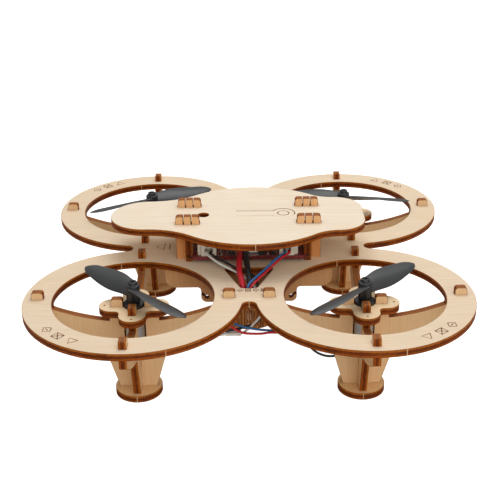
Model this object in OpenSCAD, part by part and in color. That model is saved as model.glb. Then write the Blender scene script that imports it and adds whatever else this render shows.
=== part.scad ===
// Laser-cut plywood quadcopter: four ring guards, egg-crate legs, electronics bay.
// Units mm, +Z up, floor at z = 0, origin under the middle of the airframe.
// -Y is the side with the cable opening that faces the viewer.

/* [View] */

// node to draw

/* [Plywood] */

// sheet thickness of every laser-cut piece
ply = 3; // [2.8:0.1:3.2]

/* [Rings] */

// outer radius of each propeller ring
ring_r = 44; // [43:0.5:46]
// width of the ring band
ring_band = 11.6; // [10.6:0.2:12.4]
// narrowest gap between two neighbouring rings
ring_gap = 4.7; // [4:0.1:6]

/* [Legs] */

// height of the deck underside above the foot discs
leg_h = 37.8; // [36:0.2:42]
// radius of a foot disc
foot_r = 9.75; // [9.5:0.05:11]

/* [Canopy] */

// clear height of the electronics bay
bay_h = 13; // [12.6:0.1:15]
// how far the snap prongs stand proud of the canopy
prong_h = 3.6; // [3:0.1:4.5]

/* [Drive] */

// motor can diameter
motor_d = 8.5; // [8.3:0.05:8.6]
// motor can length
motor_l = 20; // [19:0.2:20]
// propeller tip-to-tip diameter
prop_d = 63.5; // [55:0.5:64]
// running clearance around the motor shaft (radial)
shaft_gap = 0.04; // [0.02:0.01:0.08]

/* [Battery] */

// battery length between the hooks
batt_l = 40; // [34:1:40]
// battery height
batt_h = 15; // [12:0.5:16]

/* [Hidden] */

eps = 0.01;
fine = 180;
mid = 60;

foot_t = ply;
deck_z = foot_t + leg_h;
deck_top = deck_z + ply;
pitch = 2 * ring_r + ring_gap;
rc = pitch / 2;
ring_in = ring_r - ring_band;

// round bottom of the notch between neighbouring rings; it bites a hair into both
notch_bite = 0.04;
notch_tip = rc + 4.85;
notch_r = (rc * rc + pow(notch_tip - rc, 2) - ring_r * ring_r) / (2 * (ring_r - notch_tip + rc));
fill_y = rc + (notch_tip + notch_r - rc) * ring_r / (ring_r + notch_r);

// ribs, measured from the motor axis
tab_w = 4.8;
tab_u = 38.3;
tab_h = 3.1;
arm_u = 42.2;
arm_end = 4.5;
knee_u = 13.2;
knee_z = deck_top - 21.6;
foot_u = 7.7;
foot_tab = 4.2;
dip_r = 88;
dip_z = deck_top - 10.4;
arm_bow = 1.2;
knee_fillet = 6;

// motor mount
mount_top = deck_top - 3.5;
mount_z = mount_top - ply;
mount_tip = 14.1;
lobe_r = 5.4;
scallop_r = 2;
seat_u = 10;
motor_r = motor_d / 2;
motor_gap = 0.05;
slot_u = motor_r + motor_gap;
motor_bot = deck_top - 22.2;
motor_top = motor_bot + motor_l;
lap_z = (motor_bot + foot_t) / 2;

// shaft and propeller
shaft_r = 0.5;
shaft_in = 13;
hub_z = motor_top + 0.7;
hub_h = 8.6;
hub_r = 2.8;
cap_h = 1.4;
cap_r = 1.8;
blade_z = hub_z + 4.3;
blade_root = 6.2;
blade_max = 9.6;

// bay: two bulkheads across, two walls along
canopy_z = deck_top + bay_h;
canopy_top = canopy_z + ply;
bulk_y = 9.5;
wall_x = 25.45;
wall_in = wall_x - ply / 2;
wall_out = wall_x + ply / 2;
wall_end = 14.1;
wall_low = bay_h - 3;
finger_in = 20.9;
finger_out = 31;
finger_low = 8;
shoulder_x = 36.6;
shoulder_r = 4.5;
bulk_low = deck_top - 14.2;
hook_x = 18.5;
hook_r = 2.6;
hook_z = deck_top - 18.9;
hook_in = 15.2;
hook_eye = 0.9;
hook_slot = 0.9;
slit = 0.35;
barb = 0.35;

// circuit board
board_z = deck_top + 1.3;
board_t = 1.6;
board_x = 24.9;
board_y = 15.5;
slot_end = 8;
board_top = board_z + board_t;

// kerf-bent wall under the cable opening
kerf_r = 13;
kerf_y = -22.5;
kerf_low = deck_top - 21.6;
kerf_h = deck_z - kerf_low;
kerf_cut = 0.2;
kerf_step = 6;

c_ply = [0.92, 0.84, 0.72];
c_edge = [0.80, 0.64, 0.44];
c_board = [0.42, 0.07, 0.10];
c_dark = [0.12, 0.12, 0.13];
c_white = [0.90, 0.89, 0.86];
c_steel = [0.75, 0.76, 0.78];
c_prop = [0.26, 0.27, 0.28];
c_red = [0.75, 0.05, 0.08];
c_blue = [0.12, 0.33, 0.55];

function unit(v) = v / norm(v);

// twice the signed area of a closed outline, positive when anticlockwise
function turn_sum(p, i = 0) =
  i == len(p)
    ? 0
    : p[i][0] * p[(i + 1) % len(p)][1] - p[(i + 1) % len(p)][0] * p[i][1] + turn_sum(p, i + 1);

function anticlockwise(p) =
  turn_sum(p) > 0 ? p : [for (i = [len(p) - 1 : -1 : 0]) p[i]];

// ---------- helpers ----------

// polygon that always runs anticlockwise
module outline(p) {
  polygon(anticlockwise(p));
}

// sheet piece standing in the X-Z plane, centred on y
module sheet_xz(y) {
  translate([0, y + ply / 2, 0])
    rotate([90, 0, 0])
      linear_extrude(ply)
        children();
}

// sheet piece standing in the Y-Z plane, centred on x
module sheet_yz(x) {
  translate([x - ply / 2, 0, 0])
    rotate([90, 0, 90])
      linear_extrude(ply)
        children();
}

// rectangle with its two top corners rounded
module tab2d(w, z0, z1, r) {
  translate([-w / 2, z0])
    square([w, z1 - z0 - r]);
  translate([-w / 2 + r, z0])
    square([w - 2 * r, z1 - z0]);
  for (s = [-1, 1])
    translate([s * (w / 2 - r), z1 - r])
      circle(r, $fn = 32);
}

// material added in the corner between two edges that meet at p
module corner_fill(p, e1, e2, r) {
  half = acos(e1 * e2) / 2;
  t = r / tan(half);
  c = p + unit(e1 + e2) * r / sin(half);
  difference() {
    outline([p - unit(e1 + e2) * 0.5, p + e1 * t, c, p + e2 * t]);
    translate(c)
      circle(r, $fn = fine);
  }
}

module at_ring(i, j) {
  translate([i * rc, j * rc, 0])
    children();
}

// chain of short capsules along a list of points
module cord(p, r) {
  for (i = [0 : len(p) - 2])
    hull() {
      translate(p[i])
        sphere(r, $fn = 8);
      translate(p[i + 1])
        sphere(r, $fn = 8);
    }
}

// smooth point list through the given stations
function spline_at(a, b, c, d, t) =
  0.5 * (2 * b + (c - a) * t + (2 * a - 5 * b + 4 * c - d) * t * t
  + (3 * b - 3 * c + d - a) * t * t * t);

function smooth(p, n) = [
  for (i = [0 : len(p) - 2])
    for (k = [0 : n - 1])
      spline_at(p[max(i - 1, 0)], p[i], p[i + 1], p[min(i + 2, len(p) - 1)], k / n),
  p[len(p) - 1]
];

// ---------- frame plate ----------

module opening2d() {
  hull() {
    translate([-8.6, -22.2])
      circle(1.6, $fn = 32);
    translate([8.6, -22.2])
      circle(1.6, $fn = 32);
    translate([-1.9, -37.6])
      circle(2.1, $fn = 32);
    translate([1.9, -37.6])
      circle(2.1, $fn = 32);
  }
}

module deck_slots2d() {
  for (i = [-1, 1])
    for (j = [-1, 1]) {
      for (s = [-1, 1]) {
        translate([i * rc + s * tab_u - tab_w / 2, j * rc - ply / 2])
          square([tab_w, ply]);
        translate([i * rc - ply / 2, j * rc + s * tab_u - tab_w / 2])
          square([ply, tab_w]);
      }
      translate([i > 0 ? wall_out : -finger_out, j * bulk_y - ply / 2])
        square([finger_out - wall_out, ply]);
    }
  for (i = [-1, 1])
    translate([i * wall_x - ply / 2, -3])
      square([ply, 6]);
}

module frame_plate() {
  color(c_ply)
    translate([0, 0, deck_z])
      linear_extrude(ply)
        difference() {
          union() {
            for (i = [-1, 1])
              for (j = [-1, 1])
                translate([i * rc, j * rc])
                  circle(ring_r, $fn = fine);
            square(2 * fill_y, center = true);
          }
          for (i = [-1, 1])
            for (j = [-1, 1])
              translate([i * rc, j * rc])
                circle(ring_in, $fn = fine);
          for (a = [0 : 90 : 270])
            rotate(a)
              translate([0, notch_tip + notch_r])
                circle(notch_r + notch_bite, $fn = fine);
          opening2d();
          mirror([0, 1])
            opening2d();
          deck_slots2d();
        }
}

// ---------- canopy ----------

body_c = [2, 8.3];
body_r = 40.3;

// fill between the body arc and a straight lobe edge
module blend2d(hw, rf, side) {
  yf = hw + rf;
  dx = sqrt(pow(body_r + rf, 2) - pow(yf + body_c[1], 2));
  fc = [body_c[0] + side * dx, yf];
  tp = [body_c[0], -body_c[1]] + unit(fc - [body_c[0], -body_c[1]]) * body_r;
  difference() {
    outline([[fc[0], hw - 1], [fc[0], hw], fc, tp, [tp[0] - side * 2, hw - 1]]);
    translate(fc)
      circle(rf, $fn = fine);
  }
}

module half_canopy2d() {
  blend2d(15.6, 30, -1);
  blend2d(18.5, 15, 1);
}

module canopy_outline2d() {
  intersection() {
    translate([body_c[0], body_c[1]])
      circle(body_r, $fn = fine);
    translate([body_c[0], -body_c[1]])
      circle(body_r, $fn = fine);
  }
  translate([-44.2, 0])
    circle(15.6, $fn = fine);
  translate([-44.2, -15.6])
    square([46, 31.2]);
  translate([0, -18.5])
    square([38.4, 37]);
  translate([38.3, -6.5])
    square([12.1, 13]);
  for (s = [-1, 1])
    translate([38.4, s * 6.5])
      circle(12, $fn = fine);
  half_canopy2d();
  mirror([0, 1])
    half_canopy2d();
}

module canopy_plate() {
  color(c_ply)
    translate([0, 0, canopy_z])
      linear_extrude(ply)
        difference() {
          canopy_outline2d();
          for (i = [-1, 1])
            for (j = [-1, 1])
              translate([i > 0 ? finger_in : -finger_out, j * bulk_y - ply / 2])
                square([finger_out - finger_in, ply]);
          translate([-19.5, -0.6])
            circle(2.45, $fn = mid);
        }
}

// ---------- ribs ----------

module bow2d(a, b, sag) {
  n = [-(a - b)[1], (a - b)[0]] / norm(a - b);
  l = norm(a - b);
  r = (l * l / 4 + sag * sag) / (2 * sag);
  intersection() {
    translate((a + b) / 2 + n * (r - sag))
      circle(r, $fn = fine * 2);
    outline([a, a - n * 3, b - n * 3, b, b + n, a + n]);
  }
}

module rib_half2d() {
  a = [arm_u, deck_z - arm_end];
  k = [knee_u, knee_z];
  f = [foot_u, foot_t];
  outline([[0, deck_z], [arm_u, deck_z], a, k, f, [0, foot_t]]);
  intersection() {
    bow2d(a, k, arm_bow);
    square([arm_u, deck_z]);
  }
  corner_fill(k, unit(a - k), unit(f - k), knee_fillet);
}

module rib2d() {
  difference() {
    union() {
      difference() {
        union() {
          rib_half2d();
          mirror([1, 0])
            rib_half2d();
        }
        intersection() {
          translate([0, dip_z + dip_r])
            circle(dip_r, $fn = fine * 2);
          translate([-ring_in, dip_z - 1])
            square([2 * ring_in, 20]);
        }
      }
      translate([-seat_u, mount_z - 6])
        square([2 * seat_u, 6]);
      for (s = [-1, 1]) {
        translate([s * (slot_u + tab_w / 2), 0])
          tab2d(tab_w, mount_z - 1, deck_top - 0.2, 1.1);
        translate([s * tab_u, 0])
          tab2d(tab_w, deck_z - 1, deck_top + tab_h, 1.2);
      }
      translate([-foot_tab, 0.2])
        square([2 * foot_tab, foot_t]);
    }
    translate([-slot_u, motor_bot])
      square([2 * slot_u, 40]);
  }
}

module rib_x2d() {
  difference() {
    rib2d();
    translate([-ply / 2, lap_z])
      square([ply, 40]);
  }
}

module rib_y2d() {
  difference() {
    rib2d();
    translate([-ply / 2, -1])
      square([ply, lap_z + 1]);
  }
}

module rib_x(i, j) {
  color(c_edge)
    at_ring(i, j)
      sheet_xz(0)
        rib_x2d();
}

module rib_y(i, j) {
  color(c_edge)
    at_ring(i, j)
      sheet_yz(0)
        rib_y2d();
}

// ---------- motor mounts and feet ----------

module mount2d() {
  difference() {
    union() {
      for (a = [0, 90, 180, 270])
        rotate(a) {
          translate([mount_tip - lobe_r, 0])
            circle(lobe_r, $fn = mid);
          translate([0, -lobe_r])
            square([mount_tip - lobe_r, 2 * lobe_r]);
          corner_fill([lobe_r, lobe_r], [1, 0], [0, 1], scallop_r);
        }
    }
    circle(slot_u, $fn = fine);
    for (a = [0, 90])
      rotate(a)
        square([2 * (slot_u + tab_w), ply], center = true);
    for (a = [0, 90, 180, 270])
      rotate(a)
        translate([11.9, 0])
          circle(0.35, $fn = 16);
  }
}

module mount(i, j) {
  color(c_ply)
    at_ring(i, j)
      translate([0, 0, mount_z])
        linear_extrude(ply)
          mount2d();
}

module foot(i, j) {
  color(c_ply)
    at_ring(i, j)
      linear_extrude(foot_t)
        difference() {
          circle(foot_r, $fn = fine);
          for (a = [0, 90])
            rotate(a)
              square([2 * foot_tab, ply], center = true);
        }
}

// ---------- bay ----------

module prongs2d() {
  w = finger_out - finger_in;
  x0 = (finger_in + finger_out) / 2;
  z1 = canopy_top + prong_h;
  difference() {
    union() {
      translate([x0, 0])
        tab2d(w, canopy_z - 3, z1, 1.2);
      for (s = [-1, 1])
        outline([
          [x0 + s * (w / 2 - 0.1), canopy_top + 1.4],
          [x0 + s * (w / 2 + barb), canopy_top + 0.1],
          [x0 + s * (w / 2 - 0.1), canopy_top + 0.1]
        ]);
    }
    for (s = [-1, 1])
      translate([x0 + s * w / 6 - slit / 2, canopy_z - 0.6])
        square([slit, 20]);
  }
}

module hook2d() {
  difference() {
    union() {
      translate([hook_in, hook_z])
        square([hook_x + hook_r - hook_in, bulk_low - hook_z + 1]);
      translate([hook_x, hook_z])
        circle(hook_r, $fn = mid);
      translate([hook_in, hook_z - hook_r])
        square([hook_x - hook_in, hook_r]);
      corner_fill([hook_x + hook_r, bulk_low], [1, 0], [0, -1], 1.6);
      corner_fill([hook_in, bulk_low], [-1, 0], [0, -1], 1.6);
    }
    translate([hook_x, hook_z])
      circle(hook_eye, $fn = 32);
    translate([hook_x, hook_z])
      rotate(38)
        translate([0, -hook_slot / 2])
          square([6, hook_slot]);
  }
}

module bulkhead_half2d() {
  translate([0, bulk_low])
    square([shoulder_x - shoulder_r, deck_z - bulk_low]);
  translate([0, bulk_low + shoulder_r])
    square([shoulder_x, deck_z - bulk_low - shoulder_r]);
  translate([shoulder_x - shoulder_r, bulk_low + shoulder_r])
    circle(shoulder_r, $fn = mid);
  translate([wall_out, deck_z - 1])
    square([finger_out - wall_out, bay_h + ply + 1]);
  translate([finger_in, deck_top + wall_low])
    square([finger_out - finger_in, bay_h - wall_low]);
  translate([finger_in, deck_top + finger_low])
    square([wall_in - finger_in, bay_h - finger_low]);
  prongs2d();
  hook2d();
}

module bulkhead2d(kerf_slots) {
  difference() {
    union() {
      bulkhead_half2d();
      mirror([1, 0])
        bulkhead_half2d();
    }
    if (kerf_slots)
      for (s = [-1, 1])
        translate([s * (kerf_r - ply / 2) - ply / 2, deck_top - 11.5])
          square([ply, 5]);
  }
}

module bay_wall2d() {
  difference() {
    union() {
      translate([-wall_end, deck_top])
        square([2 * wall_end, wall_low]);
      translate([-wall_end, deck_top])
        square([wall_end - bulk_y - ply / 2, bay_h]);
      translate([-3, deck_z])
        square([6, ply + 1]);
    }
    translate([-wall_end - 1, board_z - 0.05])
      square([wall_end + slot_end + 1, board_t + 0.1]);
  }
}

module bay_wall(s) {
  color(c_edge)
    sheet_yz(s * wall_x)
      bay_wall2d();
}

// ---------- kerf-bent wall ----------

module kerf_wall() {
  color(c_edge)
    difference() {
      union() {
        translate([0, 0, kerf_low])
          linear_extrude(kerf_h)
            difference() {
              union() {
                translate([0, kerf_y])
                  circle(kerf_r, $fn = fine);
                translate([-kerf_r, kerf_y])
                  square([2 * kerf_r, -bulk_y - ply / 2 - kerf_y]);
              }
              translate([0, kerf_y])
                circle(kerf_r - ply, $fn = fine);
              translate([-kerf_r + ply, kerf_y])
                square([2 * (kerf_r - ply), 30]);
            }
        for (s = [-1, 1])
          translate([s * (kerf_r - ply / 2) - ply / 2, -bulk_y - ply / 2 - 1, deck_top - 11.5])
            cube([ply, ply + 1, 5]);
      }
      for (k = [1 : 180 / kerf_step])
        translate([0, kerf_y, 0])
          rotate(180 + (k - 0.5) * kerf_step)
            if (k % 2 == 0)
              translate([kerf_r - ply - 1, -kerf_cut / 2, kerf_low + 1.5])
                cube([ply + 2, kerf_cut, kerf_h - 3]);
            else
              for (z = [-1, kerf_h / 2 + 0.75])
                translate([kerf_r - ply - 1, -kerf_cut / 2, kerf_low + z])
                  cube([ply + 2, kerf_cut, kerf_h / 2 + 0.25]);
    }
}

// ---------- battery ----------

batt_w = 2 * bulk_y - ply - 0.4;
batt_top = deck_z - 0.3;

module battery() {
  color([0.16, 0.19, 0.24])
    translate([-batt_l / 2, -batt_w / 2, batt_top - batt_h])
      cube([batt_l, batt_w, batt_h]);
}

// ---------- circuit board ----------

module circuit_board() {
  color(c_board)
    difference() {
      translate([-board_x, -board_y, board_z])
        cube([2 * board_x, 2 * board_y, board_t]);
      for (i = [-1, 1])
        for (j = [-1, 1]) {
          translate([i * 21, j * 5.2, board_z - 1])
            cylinder(h = 4, r = 1.1, $fn = 32);
          translate([i * (wall_in - 0.1 + 1), j > 0 ? slot_end + 4.4 : -board_y + 0.5, board_z])
            cube([2, j > 0 ? 9 : 3, 4], center = true);
        }
    }
}

module chip(x, y, w, d, h) {
  translate([x - w / 2, y - d / 2, board_top])
    cube([w, d, h]);
}

module board_chips() {
  color(c_dark) {
    chip(0, 1, 7, 7, 1);
    chip(8.6, -8.6, 3, 3, 0.9);
    chip(-9.4, 4, 4, 5, 1.1);
    chip(9.6, 5, 5, 4, 1.2);
    chip(5.6, -13.2, 2.6, 2.2, 1);
    chip(-7.4, -12.4, 2.4, 2, 1);
    chip(10.6, -13.4, 1.8, 1.6, 0.8);
  }
}

module board_crystal() {
  color(c_steel)
    translate([0, -9.4, board_top])
      linear_extrude(3) {
        square([6, 4.6], center = true);
        for (s = [-1, 1])
          translate([s * 3, 0])
            circle(2.3, $fn = mid);
      }
}

module board_lamp() {
  color([0.9, 0.95, 0.85])
    chip(-12.3, 11, 2.4, 1.6, 0.8);
}

module button_case() {
  color(c_dark)
    difference() {
      chip(-19.5, -0.6, 6, 6, 3.4);
      translate([-19.5, -0.6, board_top + 1.4])
        cylinder(h = 4, r = 1.75, $fn = mid);
    }
}

module power_button() {
  color(c_white)
    translate([-19.5, -0.6, board_top + 1.9])
      cylinder(h = 2.6, r = 1.7, $fn = mid);
}

// wire socket with a lug on its outer side, mouth towards -Y (or +Y when dir is -1)
module socket(x, dir) {
  side = x > 0 ? 1 : -1;
  color(c_white)
    scale([1, dir, 1])
      translate([x, -board_y + 0.3, board_top])
        difference() {
          union() {
            translate([-3.2, 0, 0])
              cube([6.4, 6, 5.3]);
            translate([side * 4 - 0.85, 1, 0])
              cube([1.7, 2.9, 5]);
          }
          for (s = [-1, 1])
            translate([s * pin_dx, -1, pin_z])
              rotate([-90, 0, 0])
                cylinder(h = 4.5, r = 0.75, $fn = 24);
          translate([-2, -1, 4.2])
            cube([4, 4, 2]);
        }
}

module power_plug() {
  color(c_white)
    translate([-9.8, -42.7, deck_top - 20.6])
      difference() {
        cube([6.3, 2.6, 2.6]);
        translate([4, 0.5, 0.5])
          cube([3, 1.6, 1.6]);
      }
}

// ---------- motors ----------

module motor(i, j) {
  color(c_steel)
    at_ring(i, j)
      difference() {
        union() {
          translate([0, 0, motor_bot])
            cylinder(h = motor_l, r = motor_r, $fn = fine);
          translate([0, 0, motor_top - eps])
            cylinder(h = 0.3, r = 1.3, $fn = mid);
        }
        translate([0, 0, motor_top - shaft_in])
          cylinder(h = shaft_in + 2, r = shaft_r + shaft_gap, $fn = mid);
      }
}

module shaft(i, j) {
  color(c_steel)
    at_ring(i, j)
      translate([0, 0, motor_top - shaft_in + 0.2])
        cylinder(h = shaft_in + 4.6, r = shaft_r, $fn = mid);
}

// thin slanted section of a blade at radius u
module blade_slice(u, chord, tilt, t) {
  translate([u, 0, blade_z])
    rotate([tilt, 0, 0])
      scale([1, 1, t / chord])
        rotate([0, 90, 0])
          cylinder(h = 0.2, r = chord / 2, center = true, $fn = 16);
}

module blade(spin) {
  r = prop_d / 2;
  hull() {
    blade_slice(1.2, blade_root, spin * 34, 1.6);
    blade_slice(r * 0.34, blade_max - 0.6, spin * 29, 1.2);
  }
  hull() {
    blade_slice(r * 0.34, blade_max - 0.6, spin * 29, 1.2);
    blade_slice(r * 0.68, blade_max, spin * 20, 1);
  }
  hull() {
    blade_slice(r * 0.68, blade_max, spin * 20, 1);
    blade_slice(r * 0.9, blade_max * 0.72, spin * 15, 0.8);
    blade_slice(r - 0.1, blade_max * 0.3, spin * 13, 0.6);
  }
}

// lift is how much further up its shaft this propeller sits
module prop(i, j, turn, spin, lift = 0) {
  color(c_prop)
    translate([i * rc, j * rc, lift])
      difference() {
        union() {
          translate([0, 0, hub_z])
            cylinder(h = hub_h - cap_h, r = hub_r, $fn = fine);
          translate([0, 0, hub_z])
            cylinder(h = hub_h, r = cap_r, $fn = mid);
          for (a = [0, 180])
            rotate(turn + a)
              blade(spin);
        }
        translate([0, 0, hub_z - 1])
          cylinder(h = hub_h + 2, r = shaft_r, $fn = mid);
        translate([0, 0, hub_z + hub_h - 1.2])
          cylinder(h = 3, r = 0.9, $fn = mid);
      }
}

// ---------- wires ----------

wire_r = 0.5;
lead_r = 1.2;
left_x = -17;
right_x = 16.4;
rear_x = 17.2;
mouth_y = -board_y + 1.2;
pin_dx = 0.9;
pin_z = 1.8;
wire_z = board_top + pin_z - deck_top;
end_z = -23;

// stations are x, y and the height above the deck's top face
function on_deck(p) = [for (q = p) q + [0, 0, deck_top]];

// battery leads, from the board edge down through the cable opening to the plug
lead_red_p = [
  [-3.7, -14.2, 4.5], [-3.8, -19, 4.7], [-4, -25, 4.4], [-3.8, -31, 2.9], [-2.8, -35.4, 0.4],
  [-2.5, -36.8, -2.4], [-3.2, -37.2, -5], [-6.8, -38, -8.2], [-10.6, -38.9, -12],
  [-12.7, -39.6, -15.6], [-13.1, -40.6, -18.2], [-11.1, -41.4, -19.3]
];

lead_black_p = [
  [-1.1, -14.2, 4.5], [-1.1, -19, 4.7], [-0.8, -25, 4.4], [-0.2, -31, 2.8], [0.4, -35, 0.4],
  [0.5, -36.8, -2.4], [-0.2, -37.1, -5.2], [-3.4, -37.2, -8.8], [-6.8, -38, -12],
  [-8.6, -39.4, -14.6], [-8.7, -41.2, -16.7]
];

// left board socket, through the opening, past the plug and back, front right motor
front_right_black_p = [
  [left_x + pin_dx, mouth_y, wire_z], [left_x + pin_dx, mouth_y - 1, wire_z],
  [left_x + pin_dx, mouth_y - 2, wire_z - 0.1], [-11.8, -20.6, 3.8], [-4.6, -26, 2.1],
  [1, -29.2, 1], [3.2, -33, 0.4], [3.6, -36, -0.9], [3.7, -37, -3.4], [5.3, -38.8, -8],
  [5.3, -40, -12], [4.2, -40.1, -14.2], [2.2, -40, -16.3], [0.2, -40.2, -17.1],
  [-2.5, -41.2, -17.4], [-5, -42.8, -17.3], [-7.5, -43.4, -17.4], [-11.4, -43.9, -17.9],
  [-16.5, -42.5, -19], [-19.5, -36, -20.8], [-17, -24, -22.6], [0, -17.5, -22.8], [17, -26, -22.6],
  [22.4, -37, -24.6], [26.4, -42, -28], [31, -43.1, -30.2], [36, -43.2, -30.3],
  [41.6, -43.2, -27.8], [43.9, -43.2, -24.8], [rc - 2.1, -rc + 3.15, end_z]
];

front_right_white_p = [
  [left_x - pin_dx, mouth_y, wire_z], [left_x - pin_dx, mouth_y - 1, wire_z],
  [left_x - pin_dx, mouth_y - 2, wire_z - 0.1], [-12.6, -22, 2.9], [-4.7, -27.4, 0.9],
  [-0.6, -31, -0.5], [2, -35, -1.5], [2.7, -37.9, -3.8], [4.4, -40.4, -8], [4.6, -41.6, -11.4],
  [3.2, -41.6, -13.8], [1.5, -41.5, -15.8], [0, -41.7, -17.5], [-1.5, -42.2, -18.5],
  [-3.1, -43.4, -18.9], [-6, -43.6, -18.9], [-10, -43.9, -19], [-14, -44, -19.4],
  [-18.8, -42, -20.6], [-21, -35.6, -22.4], [-18, -23.4, -24], [0, -16.2, -24.2],
  [18.2, -25.2, -23.9], [24, -36.2, -24], [27.4, -41.6, -26.2], [31, -42.9, -27.9],
  [36, -43.1, -28.1], [40.2, -43.6, -26.4], [42.4, -44, -24.8], [rc - 3.15, -rc + 2.1, end_z]
];

// right board socket, through the opening, across the notch and back, front left motor
front_left_blue_p = [
  [right_x - pin_dx, mouth_y, wire_z], [right_x - pin_dx, mouth_y - 1, wire_z],
  [right_x - pin_dx, mouth_y - 2, wire_z - 0.1], [12.6, -20.6, 4.8], [7, -28.6, 3.3],
  [2.4, -35.4, 2.3], [-0.1, -38.4, 1], [-0.7, -39.1, -1.6], [-1.2, -39.1, -3.9], [-4.8, -41, -7],
  [-8.6, -42.2, -10.4], [-9.8, -42.5, -12.8], [-8.9, -42.5, -14.1], [-7, -42.6, -14.6],
  [-3.6, -42.8, -15.8], [0.4, -42.8, -17], [4.5, -42.3, -18], [8.6, -42.3, -18.4],
  [13.6, -41.8, -19], [17.8, -38.6, -21.6], [18.8, -31, -26.2], [14, -22.6, -26.6],
  [0, -20, -26.3], [-16, -24, -26.6], [-22.4, -34, -25.9], [-28, -41, -26.4], [-34.6, -43, -26.7],
  [-41, -43, -25.3], [-43.8, -43.2, -24.1], [-rc + 2.1, -rc + 3.15, end_z]
];

front_left_red_p = [
  [right_x + pin_dx, mouth_y, wire_z], [right_x + pin_dx, mouth_y - 1, wire_z],
  [right_x + pin_dx, mouth_y - 2, wire_z - 0.1], [13.4, -21.1, 4.2], [7.8, -29.1, 2.7],
  [3.3, -35.9, 1.6], [1, -38.6, 0.3], [0.5, -39.1, -2], [0, -39.1, -4.1], [-4.2, -42.4, -7.6],
  [-9, -43.9, -11], [-10.6, -44.1, -13.6], [-9.5, -44.2, -14.8], [-7.7, -44.5, -15],
  [-5.2, -44.6, -16.8], [-2.4, -44.4, -18.2], [0.4, -44.2, -18.7], [4.5, -44, -18.9],
  [8.5, -43.9, -18.5], [13.6, -43.4, -19], [19, -39.4, -22], [20, -31, -27.4], [15, -21.4, -27.9],
  [0, -18.6, -27.6], [-17, -23.2, -27.9], [-23.6, -33.6, -27.2], [-29, -41, -27.7],
  [-34.6, -43.4, -28.2], [-39.8, -44, -27.7], [-42.1, -44.25, -25.9],
  [-rc + 3.15, -rc + 2.1, end_z]
];

// rear pairs run straight out to their motors; written for +X and -Y, then mirrored
rear_inner_p = [
  [rear_x - pin_dx, mouth_y, wire_z], [rear_x - pin_dx, mouth_y - 1, wire_z],
  [rear_x - pin_dx, mouth_y - 2, wire_z - 0.1], [12, -21, 4], [6.6, -27.4, 2.4], [4, -31.8, 0.8],
  [3.3, -34.6, -2], [3.9, -36.2, -5], [7.5, -38.6, -11], [14, -40.6, -16.6], [22, -42, -20.4],
  [30, -42.6, -23.6], [37, -42.5, -24.9], [41.6, -42.9, -24.6], [43.8, -43.2, -23.9],
  [rc - 2.1, -rc + 3.15, end_z]
];

rear_outer_p = [
  [rear_x + pin_dx, mouth_y, wire_z], [rear_x + pin_dx, mouth_y - 1, wire_z],
  [rear_x + pin_dx, mouth_y - 2, wire_z - 0.1], [13.6, -22, 3.8], [8.4, -28.6, 2.2],
  [4, -34.2, 0.8], [2.4, -36.6, -2.2], [2.9, -38, -5.4], [6.4, -40.4, -12.2], [13.2, -42.2, -17.9],
  [21.6, -43.2, -21.7], [30, -43.9, -24.9], [36.4, -43.9, -26.9], [40.2, -44.1, -27],
  [42.4, -44.1, -25.3], [rc - 3.15, -rc + 2.1, end_z]
];

module route(c, p, r, flip_x = 0, flip_y = 0) {
  color(c)
    mirror([flip_x, 0, 0])
      mirror([0, flip_y, 0])
        cord(smooth(on_deck(p), 3), r);
}

frame_plate();
canopy_plate();
color(c_edge) sheet_xz(-bulk_y) bulkhead2d(true);  // bulkhead_front
color(c_edge) sheet_xz(bulk_y) bulkhead2d(false);  // bulkhead_rear
bay_wall(-1);  // bay_wall_left
bay_wall(1);  // bay_wall_right
rib_x(-1, -1);  // rib_x_front_left
rib_x(1, -1);  // rib_x_front_right
rib_x(-1, 1);  // rib_x_rear_left
rib_x(1, 1);  // rib_x_rear_right
rib_y(-1, -1);  // rib_y_front_left
rib_y(1, -1);  // rib_y_front_right
rib_y(-1, 1);  // rib_y_rear_left
rib_y(1, 1);  // rib_y_rear_right
mount(-1, -1);  // mount_front_left
mount(1, -1);  // mount_front_right
mount(-1, 1);  // mount_rear_left
mount(1, 1);  // mount_rear_right
foot(-1, -1);  // foot_front_left
foot(1, -1);  // foot_front_right
foot(-1, 1);  // foot_rear_left
foot(1, 1);  // foot_rear_right
kerf_wall();
battery();
circuit_board();
board_chips();
board_crystal();
board_lamp();
button_case();
power_button();
socket(left_x, 1);  // socket_front_left
socket(right_x, 1);  // socket_front_right
socket(-rear_x, -1);  // socket_rear_left
socket(rear_x, -1);  // socket_rear_right
power_plug();
route(c_red, lead_red_p, lead_r);  // lead_red
route(c_dark, lead_black_p, lead_r);  // lead_black
motor(-1, -1);  // motor_front_left
motor(1, -1);  // motor_front_right
motor(-1, 1);  // motor_rear_left
motor(1, 1);  // motor_rear_right
shaft(-1, -1);  // shaft_front_left
shaft(1, -1);  // shaft_front_right
shaft(-1, 1);  // shaft_rear_left
shaft(1, 1);  // shaft_rear_right
prop(-1, -1, 134.4, -1);  // prop_front_left
prop(1, -1, 43.2, 1);  // prop_front_right
prop(-1, 1, 27.2, 1, 1.2);  // prop_rear_left
prop(1, 1, 167, -1, 1.2);  // prop_rear_right
route(c_blue, front_left_blue_p, wire_r);  // wire_front_left_blue
route(c_red, front_left_red_p, wire_r);  // wire_front_left_red
route(c_dark, front_right_black_p, wire_r);  // wire_front_right_black
route(c_white, front_right_white_p, wire_r);  // wire_front_right_white
route(c_dark, rear_inner_p, wire_r, 1, 1);  // wire_rear_left_black
route(c_white, rear_outer_p, wire_r, 1, 1);  // wire_rear_left_white
route(c_blue, rear_inner_p, wire_r, 0, 1);  // wire_rear_right_blue
route(c_red, rear_outer_p, wire_r, 0, 1);  // wire_rear_right_red
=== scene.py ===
"""Looks of the laser-cut plywood quadcopter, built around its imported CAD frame.

Lengths in the helpers are millimetres; MM turns them into Blender's metres.
"""

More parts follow.
